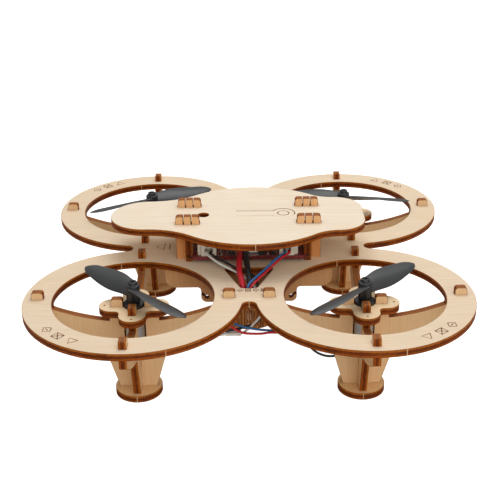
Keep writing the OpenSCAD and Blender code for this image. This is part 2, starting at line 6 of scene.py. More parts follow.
import math
import random

import bmesh
import bpy
from mathutils import Matrix, Vector


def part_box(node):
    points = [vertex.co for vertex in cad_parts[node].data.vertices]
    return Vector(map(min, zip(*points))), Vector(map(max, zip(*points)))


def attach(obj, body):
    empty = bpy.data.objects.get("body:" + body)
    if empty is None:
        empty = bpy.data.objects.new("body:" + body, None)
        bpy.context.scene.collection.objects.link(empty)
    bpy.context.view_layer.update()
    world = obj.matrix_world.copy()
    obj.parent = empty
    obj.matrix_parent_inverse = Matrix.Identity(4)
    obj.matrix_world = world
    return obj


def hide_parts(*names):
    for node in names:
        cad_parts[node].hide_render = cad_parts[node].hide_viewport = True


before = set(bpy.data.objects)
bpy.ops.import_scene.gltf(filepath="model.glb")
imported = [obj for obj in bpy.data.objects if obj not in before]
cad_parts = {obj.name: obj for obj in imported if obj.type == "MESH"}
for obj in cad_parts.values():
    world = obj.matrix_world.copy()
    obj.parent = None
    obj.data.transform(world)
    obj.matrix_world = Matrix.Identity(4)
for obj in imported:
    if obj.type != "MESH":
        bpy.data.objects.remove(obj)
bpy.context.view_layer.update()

MM = 0.001
AIRFRAME = "airframe"
CORNERS = ("front_left", "front_right", "rear_left", "rear_right")


def box_mm(node):
    """Lowest and highest corner of a CAD node, in millimetres."""
    low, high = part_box(node)
    return low / MM, high / MM


# ---------------------------------------------------------------- places taken from the frame

DECK_LOW, DECK_HIGH = box_mm("frame_plate")
DECK_TOP = DECK_HIGH.z
PLY = DECK_HIGH.z - DECK_LOW.z
CANOPY_TOP = box_mm("canopy_plate")[1].z
BOARD_LOW, BOARD_HIGH = box_mm("circuit_board")


def middle(node):
    low, high = box_mm(node)
    return (low + high) / 2


RING_C = abs(middle("motor_front_right").x)
RING_OUT = DECK_HIGH.x - RING_C
RING_BAND = 11.6
RING_IN = RING_OUT - RING_BAND
FOOT_R = 9.75
NOTCH_DEPTH = 4.85

# sides of each corner along X and Y
SIDES = {
    "front_left": (-1, -1),
    "front_right": (1, -1),
    "rear_left": (-1, 1),
    "rear_right": (1, 1),
}


# ---------------------------------------------------------------- shader helpers

def srgb(r, g, b):
    """Linear colour, with alpha, from 0-255 display values."""

    def lin(v):
        v = v / 255
        return v / 12.92 if v <= 0.04045 else ((v + 0.055) / 1.055) ** 2.4

    return (lin(r), lin(g), lin(b), 1.0)


class Shader:
    """Adds nodes to one material; sockets and plain values mix freely as inputs."""

    def __init__(self, name):
        self.mat = bpy.data.materials.new(name)
        self.mat.use_nodes = True
        self.tree = self.mat.node_tree
        self.tree.nodes.clear()
        self.out = self.node("ShaderNodeOutputMaterial")
        self.bsdf = self.node("ShaderNodeBsdfPrincipled")
        self.join(self.bsdf.outputs[0], self.out.inputs["Surface"])

    def node(self, kind, **settings):
        made = self.tree.nodes.new(kind)
        for key, value in settings.items():
            setattr(made, key, value)
        return made

    def join(self, source, socket):
        """Feeds socket from another node's output, or with a plain value."""
        if isinstance(source, bpy.types.NodeSocket):
            self.tree.links.new(source, socket)
        else:
            socket.default_value = source

    def math(self, operation, a, b=0.0):
        made = self.node("ShaderNodeMath", operation=operation)
        self.join(a, made.inputs[0])
        self.join(b, made.inputs[1])
        return made.outputs[0]

    def vector(self, operation, a, b=(0, 0, 0)):
        made = self.node("ShaderNodeVectorMath", operation=operation)
        self.join(a, made.inputs[0])
        self.join(b, made.inputs[1])
        return made.outputs["Value" if operation in ("DOT_PRODUCT", "LENGTH") else "Vector"]

    def mix(self, factor, a, b):
        made = self.node("ShaderNodeMix", data_type="RGBA")
        self.join(factor, made.inputs["Factor"])
        self.join(a, made.inputs["A"])
        self.join(b, made.inputs["B"])
        return made.outputs["Result"]

    def noise(self, where, detail=4.0, rough=0.55, distort=0.0):
        made = self.node("ShaderNodeTexNoise")
        self.join(where, made.inputs["Vector"])
        self.join(1.0, made.inputs["Scale"])
        self.join(detail, made.inputs["Detail"])
        self.join(rough, made.inputs["Roughness"])
        self.join(distort, made.inputs["Distortion"])
        return made.outputs["Fac"]

    def span(self, value, low, high, to_low=0.0, to_high=1.0):
        """Smooth step from to_low to to_high while value runs from low to high."""
        made = self.node("ShaderNodeMapRange", interpolation_type="SMOOTHSTEP")
        self.join(value, made.inputs["Value"])
        self.join(low, made.inputs["From Min"])
        self.join(high, made.inputs["From Max"])
        self.join(to_low, made.inputs["To Min"])
        self.join(to_high, made.inputs["To Max"])
        return made.outputs["Result"]

    def ramp(self, value, stops):
        """Colour ramp from a list of (place, colour)."""
        made = self.node("ShaderNodeValToRGB")
        line = made.color_ramp
        while len(line.elements) < len(stops):
            line.elements.new(0.5)
        for element, (place, colour) in zip(line.elements, stops):
            element.position = place
            element.color = colour
        self.join(value, made.inputs["Fac"])
        return made.outputs["Color"]

    def place(self, scale=(1, 1, 1)):
        """Object position in millimetres, shifted by a different amount on each object."""
        coords = self.node("ShaderNodeTexCoord")
        info = self.node("ShaderNodeObjectInfo")
        in_mm = self.vector("MULTIPLY", coords.outputs["Object"], (1000, 1000, 1000))
        shift = self.node("ShaderNodeCombineXYZ")
        for k, step in enumerate((91, 57, 73)):
            self.join(self.math("MULTIPLY", info.outputs["Random"], step), shift.inputs[k])
        return self.vector("MULTIPLY", self.vector("ADD", in_mm, shift.outputs[0]), scale)

    def axis(self, vector, k):
        """One component of a vector."""
        made = self.node("ShaderNodeSeparateXYZ")
        self.join(vector, made.inputs[0])
        return made.outputs[k]

    def flatness(self, radius):
        """1 on flats, lower within radius millimetres of a sharp corner."""
        rounded_normal = self.node("ShaderNodeBevel", samples=6)
        rounded_normal.inputs["Radius"].default_value = radius * MM
        true_normal = self.node("ShaderNodeNewGeometry").outputs["True Normal"]
        return self.vector("DOT_PRODUCT", rounded_normal.outputs[0], true_normal)

    def bump(self, height, distance, strength=1.0):
        """Bump with distance in millimetres."""
        made = self.node("ShaderNodeBump")
        self.join(height, made.inputs["Height"])
        made.inputs["Distance"].default_value = distance * MM
        made.inputs["Strength"].default_value = strength
        self.join(made.outputs["Normal"], self.bsdf.inputs["Normal"])

    def set(self, **values):
        """Principled inputs by name, with underscores for spaces."""
        for key, value in values.items():
            self.join(value, self.bsdf.inputs[key.replace("_", " ")])
        return self.mat


# ---------------------------------------------------------------- plywood

CREAM = srgb(239, 224, 203)
DECK_CREAM = srgb(231, 210, 183)
TAN = srgb(229, 192, 147)
BAY_TAN = srgb(229, 180, 128)
FOOT_TAN = srgb(232, 194, 144)
MOUNT_TAN = srgb(236, 210, 174)
BURNT = srgb(176, 90, 18)
CHAR = srgb(80, 32, 5)


def scaled(along, across, grain):
    """Scale vector that stretches a texture along one axis."""
    return tuple(along if k == grain else across for k in range(3))


def plywood(name, sheet, grain, face, soot=0.2, bay_shade=0.0):
    """Laser-cut ply: pale face veneer, burnt striped edges, a scorched rim where they meet.

    sheet is the axis across the thickness and grain the axis of the face fibres.
    soot (0 to 1) darkens the cut edges, as char and, where set high, painted shade; the last
    argument (0 to 1) paints shade on the faces inside the bay, under the canopy.
    """
    s = Shader(name)
    geometry = s.node("ShaderNodeNewGeometry")
    coords = s.node("ShaderNodeTexCoord")

    true_normal = geometry.outputs["True Normal"]
    is_face = s.span(s.math("ABSOLUTE", s.axis(true_normal, sheet)), 0.72, 0.9)

    fibre = s.noise(s.place(scaled(0.07, 1.5, grain)), 8.0, 0.62, 0.4)
    figure = s.noise(s.place(scaled(0.015, 0.11, grain)), 3.0, 0.5, 1.2)
    pore = s.noise(s.place(scaled(0.22, 3.4, grain)), 2.0, 0.4)
    blotch = s.noise(s.place((0.05, 0.05, 0.05)), 2.0, 0.5)

    pale = tuple(min(1.0, c * 1.06) for c in face[:3]) + (1.0,)
    deep = tuple(c * k for c, k in zip(face[:3], (0.96, 0.935, 0.9))) + (1.0,)
    wood = s.mix(s.span(fibre, 0.32, 0.68), deep, pale)
    wood = s.mix(s.span(figure, 0.35, 0.7, 0.0, 0.35), wood, deep)
    dark_pore = tuple(c * 0.55 for c in face[:3]) + (1.0,)
    wood = s.mix(s.span(pore, 0.64, 0.74, 0.0, 0.12), wood, dark_pore)
    warm = (face[0] * 0.98, face[1] * 0.9, face[2] * 0.76, 1.0)
    wood = s.mix(s.span(blotch, 0.45, 0.75, 0.0, 0.4), wood, warm)

    # painted shade inside the bay, between the deck and the canopy: faces there darken towards
    # orange-brown
    z = s.axis(geometry.outputs["Position"], 2)
    above = s.span(z, (DECK_TOP - 1) * MM, (DECK_TOP + 1) * MM)
    below = s.span(z, CANOPY_TOP * MM, (CANOPY_TOP - 3.5) * MM, 0.0, bay_shade)
    wood = s.mix(s.math("MULTIPLY", above, below), wood, srgb(196, 112, 34))

    # cut edge: three veneers, dark glue lines, laser striations across the sheet
    wobble = s.noise(s.place((0.3, 0.3, 0.3)), 4.0, 0.65)
    shift = s.math("MULTIPLY", s.math("SUBTRACT", wobble, 0.5), 0.3)
    depth = s.math("ADD", s.axis(coords.outputs["Generated"], sheet), shift)
    layers = s.ramp(depth, [
        (0.0, srgb(112, 50, 8)), (0.08, srgb(164, 82, 16)), (0.3, srgb(176, 88, 16)),
        (0.36, srgb(96, 40, 6)), (0.44, srgb(124, 54, 8)), (0.58, srgb(130, 58, 9)),
        (0.66, srgb(90, 37, 5)), (0.72, srgb(182, 96, 20)), (0.94, srgb(196, 114, 34)),
        (1.0, srgb(146, 76, 18)),
    ])
    stripes = s.noise(s.place(scaled(0.12, 2.6, sheet)), 3.0, 0.6)
    patches = s.noise(s.place((0.09, 0.09, 0.09)), 3.0, 0.55, 0.6)
    edge = s.mix(s.span(stripes, 0.4, 0.7, 0.0, 0.4), layers, CHAR)
    edge = s.mix(s.span(patches, 0.3, 0.48, 0.5, 0.0), edge, CHAR)
    edge = s.mix(s.span(patches, 0.56, 0.74, 0.0, 0.5), edge, BURNT)
    core = s.span(s.math("ABSOLUTE", s.math("SUBTRACT", depth, 0.5)), 0.34, 0.1)
    cloud = s.noise(s.place((0.24, 0.24, 0.24)), 4.0, 0.7, 0.5)
    scorch = s.span(cloud, 0.46, 0.62, 0.0, 0.7)
    edge = s.mix(s.math("MULTIPLY", core, scorch), edge, CHAR)
    edge = s.mix(soot, edge, CHAR)

    # painted highlight: cut edges that face up are painted lighter, as lit from above
    top_lit_edge = s.span(s.axis(true_normal, 2), 0.6, 0.95, 0.0, 0.45)
    edge = s.mix(top_lit_edge, edge, srgb(172, 116, 70))

    # scorched rim beside every corner
    rim = s.span(s.flatness(0.55), 0.995, 0.8)
    rim = s.math("MULTIPLY", rim, s.span(patches, 0.25, 0.7, 0.95, 0.45))
    wood = s.mix(rim, wood, srgb(150, 96, 50))

    colour = s.mix(is_face, edge, wood)
    shine = s.mix(is_face, (0.5, 0.5, 0.5, 1), (0.62, 0.62, 0.62, 1))
    rough = s.math("ADD", shine, s.math("MULTIPLY", s.math("SUBTRACT", fibre, 0.5), 0.25))
    height = s.mix(is_face, stripes, fibre)
    s.bump(height, 0.09, 0.6)
    return s.set(Base_Color=colour, Roughness=rough, Specular_IOR_Level=0.12)


PLY_DECK = plywood("ply_deck", 2, 0, DECK_CREAM)
PLY_TOP = plywood("ply_top", 2, 0, CREAM)
PLY_FLAT = plywood("ply_flat", 2, 1, MOUNT_TAN)
PLY_FOOT = plywood("ply_foot", 2, 1, FOOT_TAN)
PLY_CROSS = plywood("ply_cross", 1, 2, TAN)
# bulkheads carry 0.6 of painted shade on their faces inside the bay
PLY_BAY = plywood("ply_bay", 1, 2, BAY_TAN, 0.2, 0.6)
PLY_ALONG = plywood("ply_along", 0, 2, TAN)
# wall edges darkened well past the other ply: char, plus painted shade inside the bay
PLY_WALL = plywood("ply_wall", 0, 2, BAY_TAN, 0.55)


def kerf_ply():
    """Bent living-hinge wall: tan faces painted darker as the shade under the deck, soot beside
    each kerf.
    """
    s = Shader("ply_kerf")
    fibre = s.noise(s.place((2.2, 2.2, 0.12)), 6.0, 0.6)
    patches = s.noise(s.place((0.3, 0.3, 0.14)), 3.0, 0.6)
    # face colours darker and more orange than the other ply: painted shade under the deck
    wood = s.mix(s.span(fibre, 0.35, 0.65), srgb(164, 94, 40), srgb(222, 154, 84))
    wood = s.mix(s.span(patches, 0.42, 0.7, 0.0, 0.75), wood, srgb(112, 58, 22))
    colour = s.mix(s.span(s.flatness(0.3), 0.99, 0.7, 0.0, 0.9), wood, CHAR)
    s.bump(fibre, 0.08, 0.6)
    return s.set(Base_Color=colour, Roughness=0.6, Specular_IOR_Level=0.3)


def broken_wood():
    """Pale torn fibres left where a part was snapped out of its sheet."""
    s = Shader("ply_bridge")
    fibre = s.noise(s.place((3, 3, 0.4)), 5.0, 0.7)
    colour = s.mix(s.span(fibre, 0.3, 0.7), srgb(176, 126, 74), srgb(224, 190, 146))
    s.bump(fibre, 0.12)
    return s.set(Base_Color=colour, Roughness=0.8)


def engraving(name, light, dark):
    """Shallow laser line, darker and fainter by turns."""
    s = Shader(name)
    along = s.noise(s.place((0.35, 0.35, 0.35)), 3.0, 0.6)
    colour = s.mix(s.span(along, 0.35, 0.62), light, dark)
    s.bump(s.noise(s.place((4, 4, 4)), 2.0), 0.05)
    return s.set(Base_Color=colour, Roughness=0.75)


PLY_KERF = kerf_ply()
BRIDGE = broken_wood()
ENGRAVED = engraving("engraved_line", srgb(150, 94, 52), srgb(96, 54, 24))
FAINT = engraving("faint_line", srgb(222, 196, 162), srgb(196, 162, 122))


# ---------------------------------------------------------------- other materials

def plastic(name, colour, rough, grain=6.0, depth=0.02, tint=0.12, **extra):
    """Moulded plastic with a fine texture and slight shade changes."""
    s = Shader(name)
    fine = s.noise(s.place((grain, grain, grain)), 3.0, 0.6)
    broad = s.noise(s.place((0.15, 0.15, 0.15)), 2.0)
    darker = tuple(c * (1 - tint) for c in colour[:3]) + (1.0,)
    shade = s.mix(s.span(broad, 0.3, 0.7), darker, colour)
    s.bump(fine, depth, 0.7)
    worn = s.span(broad, 0.3, 0.7, rough * 0.85, rough * 1.15)
    return s.set(Base_Color=shade, Roughness=worn, **extra)


def steel(name, colour, rough):
    """Drawn metal with fine lines round its axis and faint stains."""
    s = Shader(name)
    lines = s.noise(s.place((0.6, 0.6, 9)), 4.0, 0.6)
    stain = s.noise(s.place((0.25, 0.25, 0.25)), 3.0, 0.6)
    darker = tuple(c * 0.72 for c in colour[:3]) + (1.0,)
    shade = s.mix(s.span(stain, 0.45, 0.75, 0.0, 0.6), colour, darker)
    s.bump(lines, 0.02, 0.6)
    worn = s.span(stain, 0.3, 0.7, rough * 0.8, rough * 1.4)
    return s.set(Base_Color=shade, Roughness=worn, Metallic=1.0)


def solder_mask():
    """Maroon board: glossy mask over faintly raised tracks, bare fibre edge."""
    s = Shader("board_mask")
    p = s.place((0.9, 0.9, 0.9))
    cells = s.node("ShaderNodeTexVoronoi", feature="DISTANCE_TO_EDGE", distance="CHEBYCHEV")
    s.join(p, cells.inputs["Vector"])
    cells.inputs["Scale"].default_value = 0.42
    tracks = s.span(cells.outputs["Distance"], 0.05, 0.09, 1.0, 0.0)
    cloud = s.noise(s.place((0.2, 0.2, 0.2)), 3.0)
    mask = s.mix(s.span(cloud, 0.3, 0.7), srgb(92, 20, 26), srgb(116, 28, 34))
    mask = s.mix(s.math("MULTIPLY", tracks, 0.5), mask, srgb(150, 48, 46))
    s.bump(tracks, 0.04, 0.6)
    return s.set(Base_Color=mask, Roughness=0.32, Coat_Weight=0.3, Coat_Roughness=0.2)


def insulation(name, colour):
    """Soft wire jacket with faint scuffs."""
    s = Shader(name)
    scuff = s.noise(s.place((0.9, 0.9, 0.9)), 4.0, 0.65)
    lighter = tuple(min(1.0, c * 1.35 + 0.015) for c in colour[:3]) + (1.0,)
    shade = s.mix(s.span(scuff, 0.5, 0.75, 0.0, 0.5), colour, lighter)
    s.bump(scuff, 0.03, 0.5)
    rough = s.span(scuff, 0.3, 0.7, 0.357, 0.525)
    return s.set(Base_Color=shade, Roughness=rough)


PROP = plastic("prop_plastic", srgb(56, 57, 58), 0.4, 8.0, 0.015, 0.14)
# hub: the blade plastic painted darker, as painted shade
SHADED_HUB = plastic("hub_plastic_shaded", srgb(34, 35, 37), 0.45, 8.0, 0.015, 0.14)
BLACK = plastic("black_plastic", srgb(30, 30, 32), 0.5, 7.0, 0.02)
NYLON = plastic("nylon", srgb(222, 214, 196), 0.4, 5.0, 0.015, 0.08)
WHITE = plastic("white_plastic", srgb(226, 222, 212), 0.38, 5.0, 0.015, 0.06)
LAMP = plastic("lamp_resin", srgb(236, 236, 205), 0.2, 5.0, 0.01, 0.05)
FILM = plastic("battery_film", srgb(46, 56, 74), 0.22, 1.2, 0.08, 0.25, Coat_Weight=0.5)
TAPE = plastic("battery_tape", srgb(206, 150, 44), 0.3, 1.5, 0.05, 0.18)
STEEL = steel("motor_steel", srgb(176, 178, 182), 0.34)
TIN = steel("tinned_metal", srgb(214, 212, 204), 0.34)
COPPER = steel("pad_gold", srgb(222, 186, 116), 0.3)
MASK = solder_mask()
RED = insulation("wire_red", srgb(196, 18, 38))
JET = insulation("wire_black", srgb(24, 25, 28))
BLUE = insulation("wire_blue", srgb(44, 100, 158))
PALE = insulation("wire_white", srgb(220, 220, 214))


# ---------------------------------------------------------------- mesh helpers

def add_piece(name, bm, material, body=AIRFRAME, replaces=(), smooth=35):
    """Makes a scene object from a mesh in millimetres and rides it on a body.

    Edges turned by more than smooth degrees stay sharp.
    """
    mesh = bpy.data.meshes.new(name)
    bmesh.ops.recalc_face_normals(bm, faces=bm.faces)
    for vertex in bm.verts:
        vertex.co *= MM
    for edge in bm.edges:
        sharp = edge.is_manifold and edge.calc_face_angle(0) > math.radians(smooth)
        edge.smooth = not sharp
    for face in bm.faces:
        face.smooth = True
    bm.to_mesh(mesh)
    bm.free()
    for entry in material if isinstance(material, list) else [material]:
        mesh.materials.append(entry)
    piece = bpy.data.objects.new(name, mesh)
    bpy.context.scene.collection.objects.link(piece)
    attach(piece, body)
    if replaces:
        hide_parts(*replaces)
    return piece


def block(bm, low, high, bevel=0.12, segments=2, material=0):
    """Rounded box between two corners, added to bm."""
    made = bmesh.ops.create_cube(bm, size=1.0)
    low, high = Vector(low), Vector(high)
    for vertex in made["verts"]:
        vertex.co = Vector(a + (c + 0.5) * (b - a) for a, b, c in zip(low, high, vertex.co))
    edges = list({e for v in made["verts"] for e in v.link_edges})
    faces = list({f for v in made["verts"] for f in v.link_faces})
    if bevel > 0:
        done = bmesh.ops.bevel(
            bm, geom=edges, offset=bevel, segments=segments, affect="EDGES", profile=0.5
        )
        faces = list({f for f in faces if f.is_valid} | set(done["faces"]))
    for face in faces:
        face.material_index = material


def ring_of(bm, centre, axis_u, axis_v, radius, count):
    """Circle of new vertices in the plane of two axes."""
    turns = [2 * math.pi * k / count for k in range(count)]
    return [
        bm.verts.new(
            centre + axis_u * (radius * math.cos(a)) + axis_v * (radius * math.sin(a))
        )
        for a in turns
    ]


def bridge(bm, a, b, material=0):
    """Band of quads between two rings of vertices."""
    n = len(a)
    for k in range(n):
        face = bm.faces.new((a[k], a[(k + 1) % n], b[(k + 1) % n], b[k]))
        face.material_index = material


def stack(bm, rings, material=0):
    """Closed solid from rings of vertices in order."""
    for lower, upper in zip(rings, rings[1:]):
        bridge(bm, lower, upper, material)
    for end in (rings[0], rings[-1]):
        face = bm.faces.new(end)
        face.material_index = material


def lathe(bm, centre, profile, count=48, material=0):
    """Solid turned about Z: profile is a list of (radius, height) from bottom to top."""
    u, v = Vector((1, 0, 0)), Vector((0, 1, 0))
    rings = [ring_of(bm, Vector(centre) + Vector((0, 0, h)), u, v, r, count) for r, h in profile]
    stack(bm, rings, material)


def rounded(radius, low, high, round_by, steps=4):
    """Profile of a turned can with rounded rims."""
    turns = [math.pi / 2 * k / steps for k in range(steps + 1)]
    flat = radius - round_by
    bottom = [(flat + round_by * math.sin(a), low + round_by * (1 - math.cos(a))) for a in turns]
    top = [(flat + round_by * math.cos(a), high - round_by * (1 - math.sin(a))) for a in turns]
    return bottom + top


def spline(stations, per_span):
    """Catmull-Rom points through the stations."""
    pts = [Vector(p) for p in stations]
    out = []
    for k in range(len(pts) - 1):
        a, b = pts[max(k - 1, 0)], pts[k]
        c, d = pts[k + 1], pts[min(k + 2, len(pts) - 1)]
        for j in range(per_span):
            t = j / per_span
            out.append(
                0.5 * (2 * b + (c - a) * t + (2 * a - 5 * b + 4 * c - d) * t * t
                       + (3 * b - 3 * c + d - a) * t ** 3)
            )
    out.append(pts[-1])
    return out


def sweep(bm, path, radius, count):
    """Round tube along a path, turned as little as possible from ring to ring."""
    side = None
    rings = []
    for k, point in enumerate(path):
        ahead = path[min(k + 1, len(path) - 1)] - path[max(k - 1, 0)]
        ahead.normalize()
        if side is None:
            side = ahead.orthogonal().normalized()
        side = (side - ahead * side.dot(ahead)).normalized()
        other = ahead.cross(side)
        rings.append(ring_of(bm, point, side, other, radius, count))
    stack(bm, rings)


# ---------------------------------------------------------------- plywood nodes

def soften(node, width):
    """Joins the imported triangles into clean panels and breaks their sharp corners."""
    weld = node.modifiers.new("weld", "WELD")
    weld.merge_threshold = 0.002 * MM
    merge = node.modifiers.new("panels", "DECIMATE")
    merge.decimate_type = "DISSOLVE"
    merge.angle_limit = math.radians(0.4)
    corner = node.modifiers.new("corner", "BEVEL")
    corner.width = width * MM
    corner.segments = 1
    corner.limit_method = "ANGLE"
    corner.angle_limit = math.radians(40)
    corner.use_clamp_overlap = True


def dress(node_name, material, corner=None):
    """Material for a CAD node that stays visible, with softened corners of a given width."""
    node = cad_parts[node_name]
    node.data.materials.clear()
    node.data.materials.append(material)
    if corner:
        soften(node, corner)


def ply_nodes():
    dress("frame_plate", PLY_DECK, 0.1)
    dress("canopy_plate", PLY_TOP, 0.1)
    for end in ("front", "rear"):
        dress("bulkhead_" + end, PLY_BAY, 0.1)
    for side in ("left", "right"):
        dress("bay_wall_" + side, PLY_WALL, 0.1)
    for corner in CORNERS:
        dress("rib_x_" + corner, PLY_CROSS, 0.1)
        dress("rib_y_" + corner, PLY_ALONG, 0.1)
        dress("mount_" + corner, PLY_FLAT, 0.1)
        dress("foot_" + corner, PLY_FOOT, 0.1)
    dress("kerf_wall", PLY_KERF)


# ---------------------------------------------------------------- bridge stubs

STUB_WIDTH = 0.42
STUB_PROUD = 0.04


def stub(bm, spot, outward, low, high):
    """Torn bridge on a cut edge: a thin pale flake that spans the sheet."""
    outward = Vector((outward[0], outward[1], 0)).normalized()
    across = Vector((-outward.y, outward.x, 0))
    base = Vector((spot[0], spot[1], 0))
    steps = 6
    rows = []
    for k in range(steps + 1):
        z = low + (high - low) * k / steps
        w = STUB_WIDTH / 2 * (1 + 0.25 * random.uniform(-1, 1))
        d = STUB_PROUD * (1 + 0.5 * random.uniform(-1, 1))
        rows.append([
            bm.verts.new(base + across * x + outward * y + Vector((0, 0, z)))
            for x, y in ((-w, -0.2), (w, -0.2), (w * 0.8, d), (-w * 0.8, d))
        ])
    stack(bm, rows)


def bridge_stubs():
    """Torn bridges on the rings, feet, notches and canopy."""
    random.seed(11)
    bm = bmesh.new()
    low, high = DECK_LOW.z + 0.12, DECK_HIGH.z - 0.12
    outer_turn = {"front_left": -69, "front_right": -76, "rear_left": 69, "rear_right": 76}
    for corner, (i, j) in SIDES.items():
        c = Vector((i * RING_C, j * RING_C))
        a = math.radians(outer_turn[corner])
        out = Vector((math.cos(a), math.sin(a)))
        stub(bm, c + out * RING_OUT, out, low, high)
        a = math.radians(105)
        out = Vector((math.cos(a), math.sin(a)))
        stub(bm, c + out * RING_IN, -out, low, high)
        for turn in (-90, 40, 150):
            a = math.radians(turn)
            out = Vector((math.cos(a), math.sin(a)))
            stub(bm, c + out * FOOT_R, out, 0.15, PLY - 0.15)
    notch = RING_C + NOTCH_DEPTH
    stub(bm, (0, -notch), (0, -1), low, high)
    stub(bm, (0, notch), (0, 1), low, high)
    canopy = box_mm("canopy_plate")
    for s in (-1, 1):
        stub(bm, (2.9, s * (canopy[1].y - 0.01)), (0, s), canopy[0].z + 0.12, canopy[1].z - 0.12)
    add_piece("bridge_stubs", bm, BRIDGE)


# ---------------------------------------------------------------- engraved marks

def line_ribbon(bm, points, z, width=0.28, closed=False):
    """Flat ribbon of even width that follows a plan outline and lies just proud of height z."""
    lift, sink = 0.012, 0.05
    count = len(points)
    sides = []
    for k, (x, y) in enumerate(points):
        if closed:
            a, b = points[k - 1], points[(k + 1) % count]
        else:
            a, b = points[max(k - 1, 0)], points[min(k + 1, count - 1)]
        along = Vector((b[0] - a[0], b[1] - a[1])).normalized()
        across = Vector((-along.y, along.x)) * width / 2
        sides.append([
            bm.verts.new((x + across.x * s, y + across.y * s, z + dz))
            for s, dz in ((1, lift), (-1, lift), (-1, -sink), (1, -sink))
        ])
    spans = zip(sides, sides[1:] + sides[:1]) if closed else zip(sides, sides[1:])
    for a, b in spans:
        bridge(bm, a, b)
    if not closed:
        bm.faces.new(sides[0])
        bm.faces.new(sides[-1])


def arc(cx, cy, r, start=0.0, end=360.0, steps=48):
    """Points along a circle, the last one left out when it closes."""
    turns = [math.radians(start + (end - start) * k / steps) for k in range(steps + 1)]
    points = [(cx + r * math.cos(t), cy + r * math.sin(t)) for t in turns]
    return points[:-1] if abs(end - start) >= 360 else points


def canopy_mark():
    """Two rings with a pair of tail lines, cut lightly into the canopy."""
    bm = bmesh.new()
    cx, cy = 15.4, 0.6
    line_ribbon(bm, arc(cx, cy, 5.0, -20, 150, 40), CANOPY_TOP, 0.5)
    line_ribbon(bm, arc(cx, cy, 2.5), CANOPY_TOP, 0.4, closed=True)
    line_ribbon(bm, [(-5.3, 3.4), (2, 3.3), (cx - 4.33, cy + 2.5)], CANOPY_TOP, 0.42)
    add_piece("canopy_mark", bm, ENGRAVED)
    bm = bmesh.new()
    line_ribbon(bm, [(-5.3, -2.2), (2, -2.2), (cx - 4.1, cy - 2.87)], CANOPY_TOP, 0.36)
    line_ribbon(bm, arc(cx, cy, 5.0, -145, -30, 30), CANOPY_TOP, 0.24)
    add_piece("canopy_mark_faint", bm, FAINT)


# strokes across and along a unit square, none of them a letter
CRATE = [[(-0.4, -0.4), (0.4, -0.4), (0.4, 0.4), (-0.4, 0.4), (-0.4, -0.4)]]
CRATE += [[(-0.38, -0.38), (0.38, 0.38)], [(-0.38, 0.38), (0.38, -0.38)]]
GEM = [[(0, -0.46), (0.46, 0), (0, 0.46), (-0.46, 0), (0, -0.46)], [(-0.2, 0), (0.2, 0)]]
PEAK = [[(-0.44, -0.36), (0.44, -0.36), (0, 0.44), (-0.44, -0.36)]]


def symbol(bm, strokes, x, y, turn, across, along, width=0.44):
    """Draws strokes on the deck, with their own up direction turned by an angle."""
    c, s = math.cos(turn), math.sin(turn)
    for stroke in strokes:
        scaled_points = [(u * across, v * along) for u, v in stroke]
        points = [(x + u * c - v * s, y + u * s + v * c) for u, v in scaled_points]
        line_ribbon(bm, points, DECK_TOP, width)


def deck_marks():
    """Plain assembly marks: three on each ring, a row between the front tabs, an arrow."""
    bm = bmesh.new()
    radius = RING_OUT - 4.6
    for i, j in SIDES.values():
        diagonal = math.atan2(j, i)
        for strokes, turn in ((GEM, -5), (CRATE, 5), (PEAK, 15)):
            heading = diagonal + i * j * math.radians(turn)
            x = i * RING_C + radius * math.cos(heading)
            y = j * RING_C + radius * math.sin(heading)
            symbol(bm, strokes, x, y, heading - math.pi / 2, 4.6, 4.4)
    for k in range(7):
        x = -10 + 3.2 * k
        symbol(bm, CRATE if k % 2 else GEM, x, -41.4, 0, 2.7, 2.9, 0.4)
    line_ribbon(bm, [(-40.7, 1.3), (-37, 5.0), (-37.6, -1.9)], DECK_TOP, 0.5, closed=True)
    line_ribbon(bm, [(-34.9, 4.4), (-34.9, -1.4)], DECK_TOP, 0.5)
    add_piece("deck_marks", bm, ENGRAVED)


# ---------------------------------------------------------------- propellers and motors

BLADE_STATIONS = 22
CHORD_POINTS = 12
BLADE_RISE = 4.3
BLADE_LIMIT = 31.6


def smoothstep(a, b, x):
    """0 below a, 1 above b, smooth between."""
    t = max(0.0, min(1.0, (x - a) / (b - a)))
    return t * t * (3 - 2 * t)


def blade(bm, centre, heading, spin, length):
    """One twisted blade: narrow root, widest past the middle, round tip."""
    out = Vector((math.cos(heading), math.sin(heading), 0))
    side = Vector((-out.y, out.x, 0)) * spin
    up = Vector((0, 0, 1))
    rings = []
    for k in range(BLADE_STATIONS):
        u = k / (BLADE_STATIONS - 1)
        r = 1.4 + (length - 1.4) * (1 - (1 - u) ** 1.35)
        share = r / length
        chord = 7.3 + 2.4 * smoothstep(0.06, 0.4, share) - 4.6 * smoothstep(0.45, 1.15, share)
        tip = max(0.0, (share - 0.84) / 0.16)
        chord *= math.sqrt(max(0.012, 1 - tip * tip))
        pitch = math.radians(33 - 21 * smoothstep(0.0, 1.0, share))
        thick = (1.5 - 0.75 * share) * (1 if tip < 0.5 else 1 - 0.5 * tip)
        lead = 0.1 * chord
        sweep_back = -0.5 * math.sin(math.pi * share)
        ring = []
        for m in range(CHORD_POINTS * 2):
            a = math.pi * m / CHORD_POINTS
            x = math.cos(a) * chord / 2 + lead + sweep_back
            camber = 0.07 * chord * (1 - (2 * (x - lead - sweep_back) / chord) ** 2)
            y = camber + math.sin(a) * thick / 2 * (1 - 0.35 * math.cos(a))
            along = x * math.cos(pitch) - y * math.sin(pitch)
            rise = x * math.sin(pitch) + y * math.cos(pitch)
            ring.append(bm.verts.new(centre + out * r + side * along + up * rise))
        rings.append(ring)
    stack(bm, rings)


